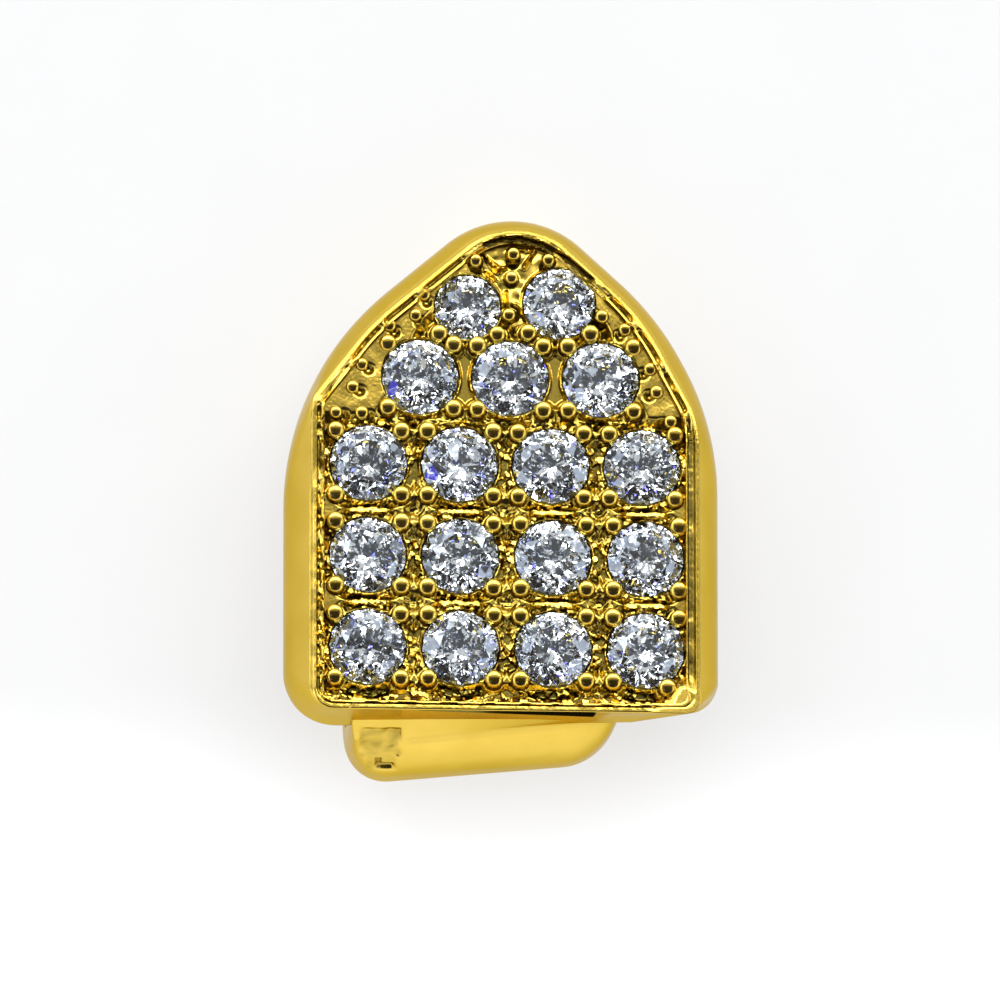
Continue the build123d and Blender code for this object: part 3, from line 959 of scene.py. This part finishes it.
def corner_lift(edge, radius):
    """How far a round corner lies inside a square one at a distance from its end."""
    return radius - math.sqrt(radius**2 - (radius - edge) ** 2) if edge < radius else 0.0


def hook_limits(across):
    """Lowest and highest place of the hook at one place across, and how far its end lifts it."""
    left = across - (HOOK_OFFSET - HOOK_WIDTH / 2)
    right = HOOK_OFFSET + HOOK_WIDTH / 2 - across
    lift = corner_lift(left, HOOK_CORNER_LEFT) + corner_lift(right, HOOK_CORNER_RIGHT)
    high = HOOK_HEIGHT
    for edge in (left, right):
        high -= corner_lift(edge, LEAF_CORNER_ROUND)
    return lift - HOOK_DROP - hook_fall(across), high, lift


def in_box(x, y, box, soft):
    """1 at pixels inside a box, 0 outside, smooth over the soft edge."""
    (left, top), (right, bottom) = box
    share = ease(x, left - soft, left + soft) * fade(x, right - soft, right + soft)
    return share * ease(y, top - soft, top + soft) * fade(y, bottom - soft, bottom + soft)


def hook_dent(points, normals):
    """The hook's crease and rough recess: how deep the metal is cut at each point, and how much
    painted shade darkens it.
    """
    x, y = to_pixels(points)
    seen = ease(normals @ view_back, 0.15, 0.35)
    inside = in_box(x, y, DENT_PIXELS, DENT_SOFT)
    ledge = in_box(x, y, DENT_LEDGE_PIXELS, DENT_LEDGE_SOFT)
    notch = np.max([in_box(x, y, box, NOTCH_SOFT) for box in NOTCH_PIXELS], axis=0)
    lumps = grain(points, 0.32, 3.0) + 0.3 * grain(points, 0.15, 8.0)
    slant = (x - DENT_PIXELS[0][0]) / (DENT_PIXELS[1][0] - DENT_PIXELS[0][0])
    shallow = 1 - 0.6 * ease(y, *DENT_FADE_PIXELS)
    depth = inside * (0.035 + 0.05 * slant * shallow + 0.05 * lumps)
    depth = np.maximum(depth, ledge * (0.04 + 0.03 * lumps)) + 0.08 * notch
    (left, top), (right, bottom) = HOOK_CREASE_PIXELS
    line = top + (bottom - top) * (x - left) / (right - left)
    crease = fade(np.abs(y - line), 0.0, CREASE_HALF_PIXELS) * ease(x, *CREASE_START_PIXELS)
    depth += 0.025 * crease * (1 - 0.8 * ease(x, left, right))
    # Painted shade: uneven in the recess, lighter on the ledge under it, strong in the notch, faint
    # along the crease
    tone = 0.34 + 0.42 * grain(points, 0.25, 5.0)
    shade = np.maximum(tone * inside, 0.2 * ledge) + 0.5 * notch + 0.12 * crease
    shade = np.clip(shade, 0, 1)
    return depth * seen, shade * seen


def make_hook():
    """The hook behind the tooth, remeshed so that its cut ends come out softly rounded."""
    turns = np.linspace(0, math.pi, 60)
    places = HOOK_OFFSET - HOOK_WIDTH / 2 * np.cos(turns) * 0.9995
    rings = []
    for across in places:
        low, high, lift = hook_limits(across)
        section = hook_section(across, low, lift)
        section[:, 1] = np.clip(section[:, 1], low, high)
        section[:, 0] = np.minimum(section[:, 0], floor_line(section[:, 1]))
        rings.append(from_face(across, section[:, 1], section[:, 0]))
    block = bpy.data.meshes.new("hook_block")
    faces = grid_faces(len(rings), len(rings[0]), False)
    block.from_pydata(np.concatenate(rings).tolist(), [], faces)
    turn_outward(block)
    holder = add_object("hook_block", block)
    remesh = holder.modifiers.new("remesh", "REMESH")
    remesh.mode = "VOXEL"
    remesh.voxel_size = REMESH_SIZE
    soften = holder.modifiers.new("soften", "SMOOTH")
    soften.factor = 0.5
    soften.iterations = 12
    bpy.context.view_layer.update()
    evaluated = holder.evaluated_get(bpy.context.evaluated_depsgraph_get())
    result = bpy.data.meshes.new_from_object(evaluated)
    points = np.array([v.co for v in result.vertices])
    faces = [list(face.vertices) for face in result.polygons]
    bpy.data.objects.remove(holder)
    normals = np.array([v.normal for v in result.vertices])
    dent, painted_shade = hook_dent(points, normals)
    return make_piece("hook", points - normals * dent[:, None], faces, [painted_shade])


def new_material(name):
    """An empty node material: itself, its node tree and its surface shader."""
    material = bpy.data.materials.new(name)
    material.use_nodes = True
    return material, material.node_tree, material.node_tree.nodes["Principled BSDF"]


def fill_inputs(node, sockets, values):
    """Gives inputs of a node their values; a value that is another node's output is linked."""
    for socket, value in zip(sockets, values):
        if isinstance(value, bpy.types.NodeSocket):
            node.id_data.links.new(value, node.inputs[socket])
        else:
            node.inputs[socket].default_value = value


def add_node(tree, kind, **values):
    """A shader node with values for its inputs, whose names have underscores for spaces."""
    node = tree.nodes.new("ShaderNode" + kind)
    fill_inputs(node, [name.replace("_", " ") for name in values], values.values())
    return node


def calculate(tree, kind, operation, *values):
    """Output of a Math or VectorMath node."""
    node = add_node(tree, kind)
    node.operation = operation
    fill_inputs(node, range(len(values)), values)
    return node.outputs[0]


def add_ramp(tree, share, colours, places=(0, 1)):
    """Output of a colour ramp between two colours."""
    ramp = add_node(tree, "ValToRGB", Fac=share)
    for stop, colour, place in zip(ramp.color_ramp.elements, colours, places):
        stop.position = place
        stop.color = colour
    return ramp.outputs["Color"]


def rise(tree, value, ends, results=(0, 1)):
    """Output that rises smoothly from one result to the other between two ends of a value."""
    step = add_node(tree, "MapRange", Value=value)
    step.interpolation_type = "SMOOTHSTEP"
    fill_inputs(step, ("From Min", "From Max", "To Min", "To Max"), (*ends, *results))
    return step.outputs["Result"]


def lay_over(tree, below, colour, share):
    """Output of a colour laid over another by a share."""
    mix = add_node(tree, "Mix")
    mix.data_type = "RGBA"
    fill_inputs(mix, ("Factor", "A", "B"), (share, below, colour))
    return mix.outputs["Result"]


def make_gold():
    """Polished gold plate: slow drifts of tone, fine satin grain, painted shade in the recesses."""
    material, tree, shader = new_material("gold")
    place = add_node(tree, "TexCoord").outputs["Object"]
    drift = add_node(tree, "TexNoise", Vector=place, Scale=900, Detail=3).outputs["Fac"]
    fine = add_node(tree, "TexNoise", Vector=place, Scale=14000, Detail=2).outputs["Fac"]
    painted_shade_input = add_node(tree, "Attribute")
    painted_shade_input.attribute_name = "painted_shade"
    tone = add_ramp(tree, drift, GOLD_COLOURS, (0.35, 0.7))
    # Painted shade: the dark colour laid over the gold by each point's painted-shade share
    tone = lay_over(tree, tone, PAINTED_SHADE_COLOUR, painted_shade_input.outputs["Fac"])
    sheen = add_node(tree, "MapRange", Value=drift, To_Min=0.14, To_Max=0.26).outputs["Result"]
    bump = add_node(tree, "Bump", Height=fine, Strength=0.12, Distance=0.00001).outputs["Normal"]
    sockets = ("Base Color", "Roughness", "Normal", "Metallic", "Specular Tint")
    fill_inputs(shader, sockets, (tone, sheen, bump, 1, GOLD_TINT))
    return material


def make_crystal():
    """Clear cut stone with a trace of haze, its surface tilted a little from patch to patch."""
    material, tree, shader = new_material("crystal")
    place = add_node(tree, "TexCoord").outputs["Object"]
    haze = add_node(tree, "TexNoise", Vector=place, Scale=1500).outputs["Fac"]
    tone = add_ramp(tree, haze, CRYSTAL_COLOURS)
    wear = add_node(tree, "MapRange", Value=haze, To_Min=0.0, To_Max=0.03).outputs["Result"]
    cells = add_node(tree, "TexVoronoi", Vector=place, Scale=3600).outputs["Color"]
    level = add_node(tree, "NewGeometry").outputs["Normal"]
    lean = calculate(tree, "VectorMath", "SUBTRACT", cells, (0.5, 0.5, 0.5))
    lean = calculate(tree, "VectorMath", "MULTIPLY_ADD", lean, (CRYSTAL_TILT,) * 3, level)
    lean = calculate(tree, "VectorMath", "NORMALIZE", lean)
    sockets = ("Base Color", "Roughness", "Normal", "IOR", "Transmission Weight", "Specular Tint")
    fill_inputs(shader, sockets, (tone, wear, lean, CRYSTAL_INDEX, 1, CRYSTAL_TINT))
    return material


def make_floor():
    """Plain pale floor that glows with painted light, a little more in front of the hook."""
    material, tree, shader = new_material("pale_floor")
    place = add_node(tree, "TexCoord").outputs["Object"]
    mottle = add_node(tree, "TexNoise", Vector=place, Scale=300).outputs["Fac"]
    tone = add_ramp(tree, mottle, FLOOR_COLOURS)
    up = add_node(tree, "SeparateXYZ", Vector=place).outputs["Y"]
    # Painted light: the floor's glow rises toward the front
    glow = rise(tree, up, [end * MM for end in FLOOR_GLOW_ENDS], FLOOR_GLOW)
    sockets = ("Base Color", "Roughness", "Emission Color", "Emission Strength")
    fill_inputs(shader, sockets, (tone, 0.7, (1, 1, 1, 1), glow))
    half = FLOOR_SIZE / 2 * MM
    corners = [(-half, -half, 0), (half, -half, 0), (half, half, 0), (-half, half, 0)]
    mesh = bpy.data.meshes.new("floor")
    mesh.from_pydata(corners, [], [(0, 1, 2, 3)])
    mesh.materials.append(material)
    floor = add_object("floor", mesh)


def make_world():
    """A dim room with lit patches, a bright front, and cards over the cap."""
    world = bpy.data.worlds.new("tent")
    bpy.context.scene.world = world
    world.use_nodes = True
    tree = world.node_tree
    place = add_node(tree, "TexCoord").outputs["Generated"]
    parts = add_node(tree, "SeparateXYZ", Vector=place).outputs

    def multiply(first, second):
        return calculate(tree, "Math", "MULTIPLY", first, second)

    def rest(share):
        return calculate(tree, "Math", "SUBTRACT", 1.0, share)

    front = rise(tree, multiply(parts["Y"], -1.0), FRONT_ENDS)
    result = lay_over(tree, HORIZON_COLOUR, FRONT_COLOUR, front)
    near, far = (math.cos(math.radians(angle)) for angle in DOME_ANGLES)
    result = lay_over(tree, result, DOME_COLOUR, rise(tree, parts["Z"], (far, near)))
    # Lit patches of the room, except in front
    room = add_node(tree, "TexNoise", Vector=place, Scale=PATCH_SCALE, Detail=1).outputs["Fac"]
    patch = multiply(rise(tree, room, PATCH_ENDS), rest(front))
    result = lay_over(tree, result, PATCH_COLOUR, patch)
    # Cards over the cap
    height = calculate(tree, "Math", "MAXIMUM", parts["Z"], 0.01)
    slopes = [calculate(tree, "Math", "DIVIDE", parts[axis], height) for axis in "XY"]
    for sideways, lengthways, soft, colour in CARDS:
        share = 1.0
        for slope, (low, high) in zip(slopes, (sideways, lengthways)):
            share = multiply(share, rise(tree, slope, (low - soft, low + soft)))
            share = multiply(share, rest(rise(tree, slope, (high - soft, high + soft))))
        result = lay_over(tree, result, colour, share)
    fill_inputs(tree.nodes["Background"], ("Color", "Strength"), (result, 1))


def make_camera():
    """The photograph's view: straight down, a little from the left, rolled a little."""
    lens = bpy.data.cameras.new("camera")
    lens.lens = LENS
    lens.sensor_width = SENSOR
    lens.clip_start = 0.001
    lens.clip_end = 10
    camera = add_object("camera", lens)
    axes = Matrix((view_right, view_up, view_back)).transposed()
    eye = Vector((view_middle + view_back * view_distance) * MM)
    camera.matrix_world = Matrix.Translation(eye) @ axes.to_4x4()
    bpy.context.scene.camera = camera


make_camera()
make_world()
make_floor()
gold = make_gold()
crystal = make_crystal()
for piece in (make_rim_wall(), make_field(), make_beads(), make_hook()):
    finish_metal(piece, gold)
for name, node in frame["nodes"].items():
    if name.startswith("stone_"):
        node.material_slots[0].material = crystal

scene = bpy.context.scene
scene.view_settings.view_transform = "Standard"
scene.cycles.max_bounces = 24
scene.cycles.transmission_bounces = 16
scene.cycles.glossy_bounces = 8
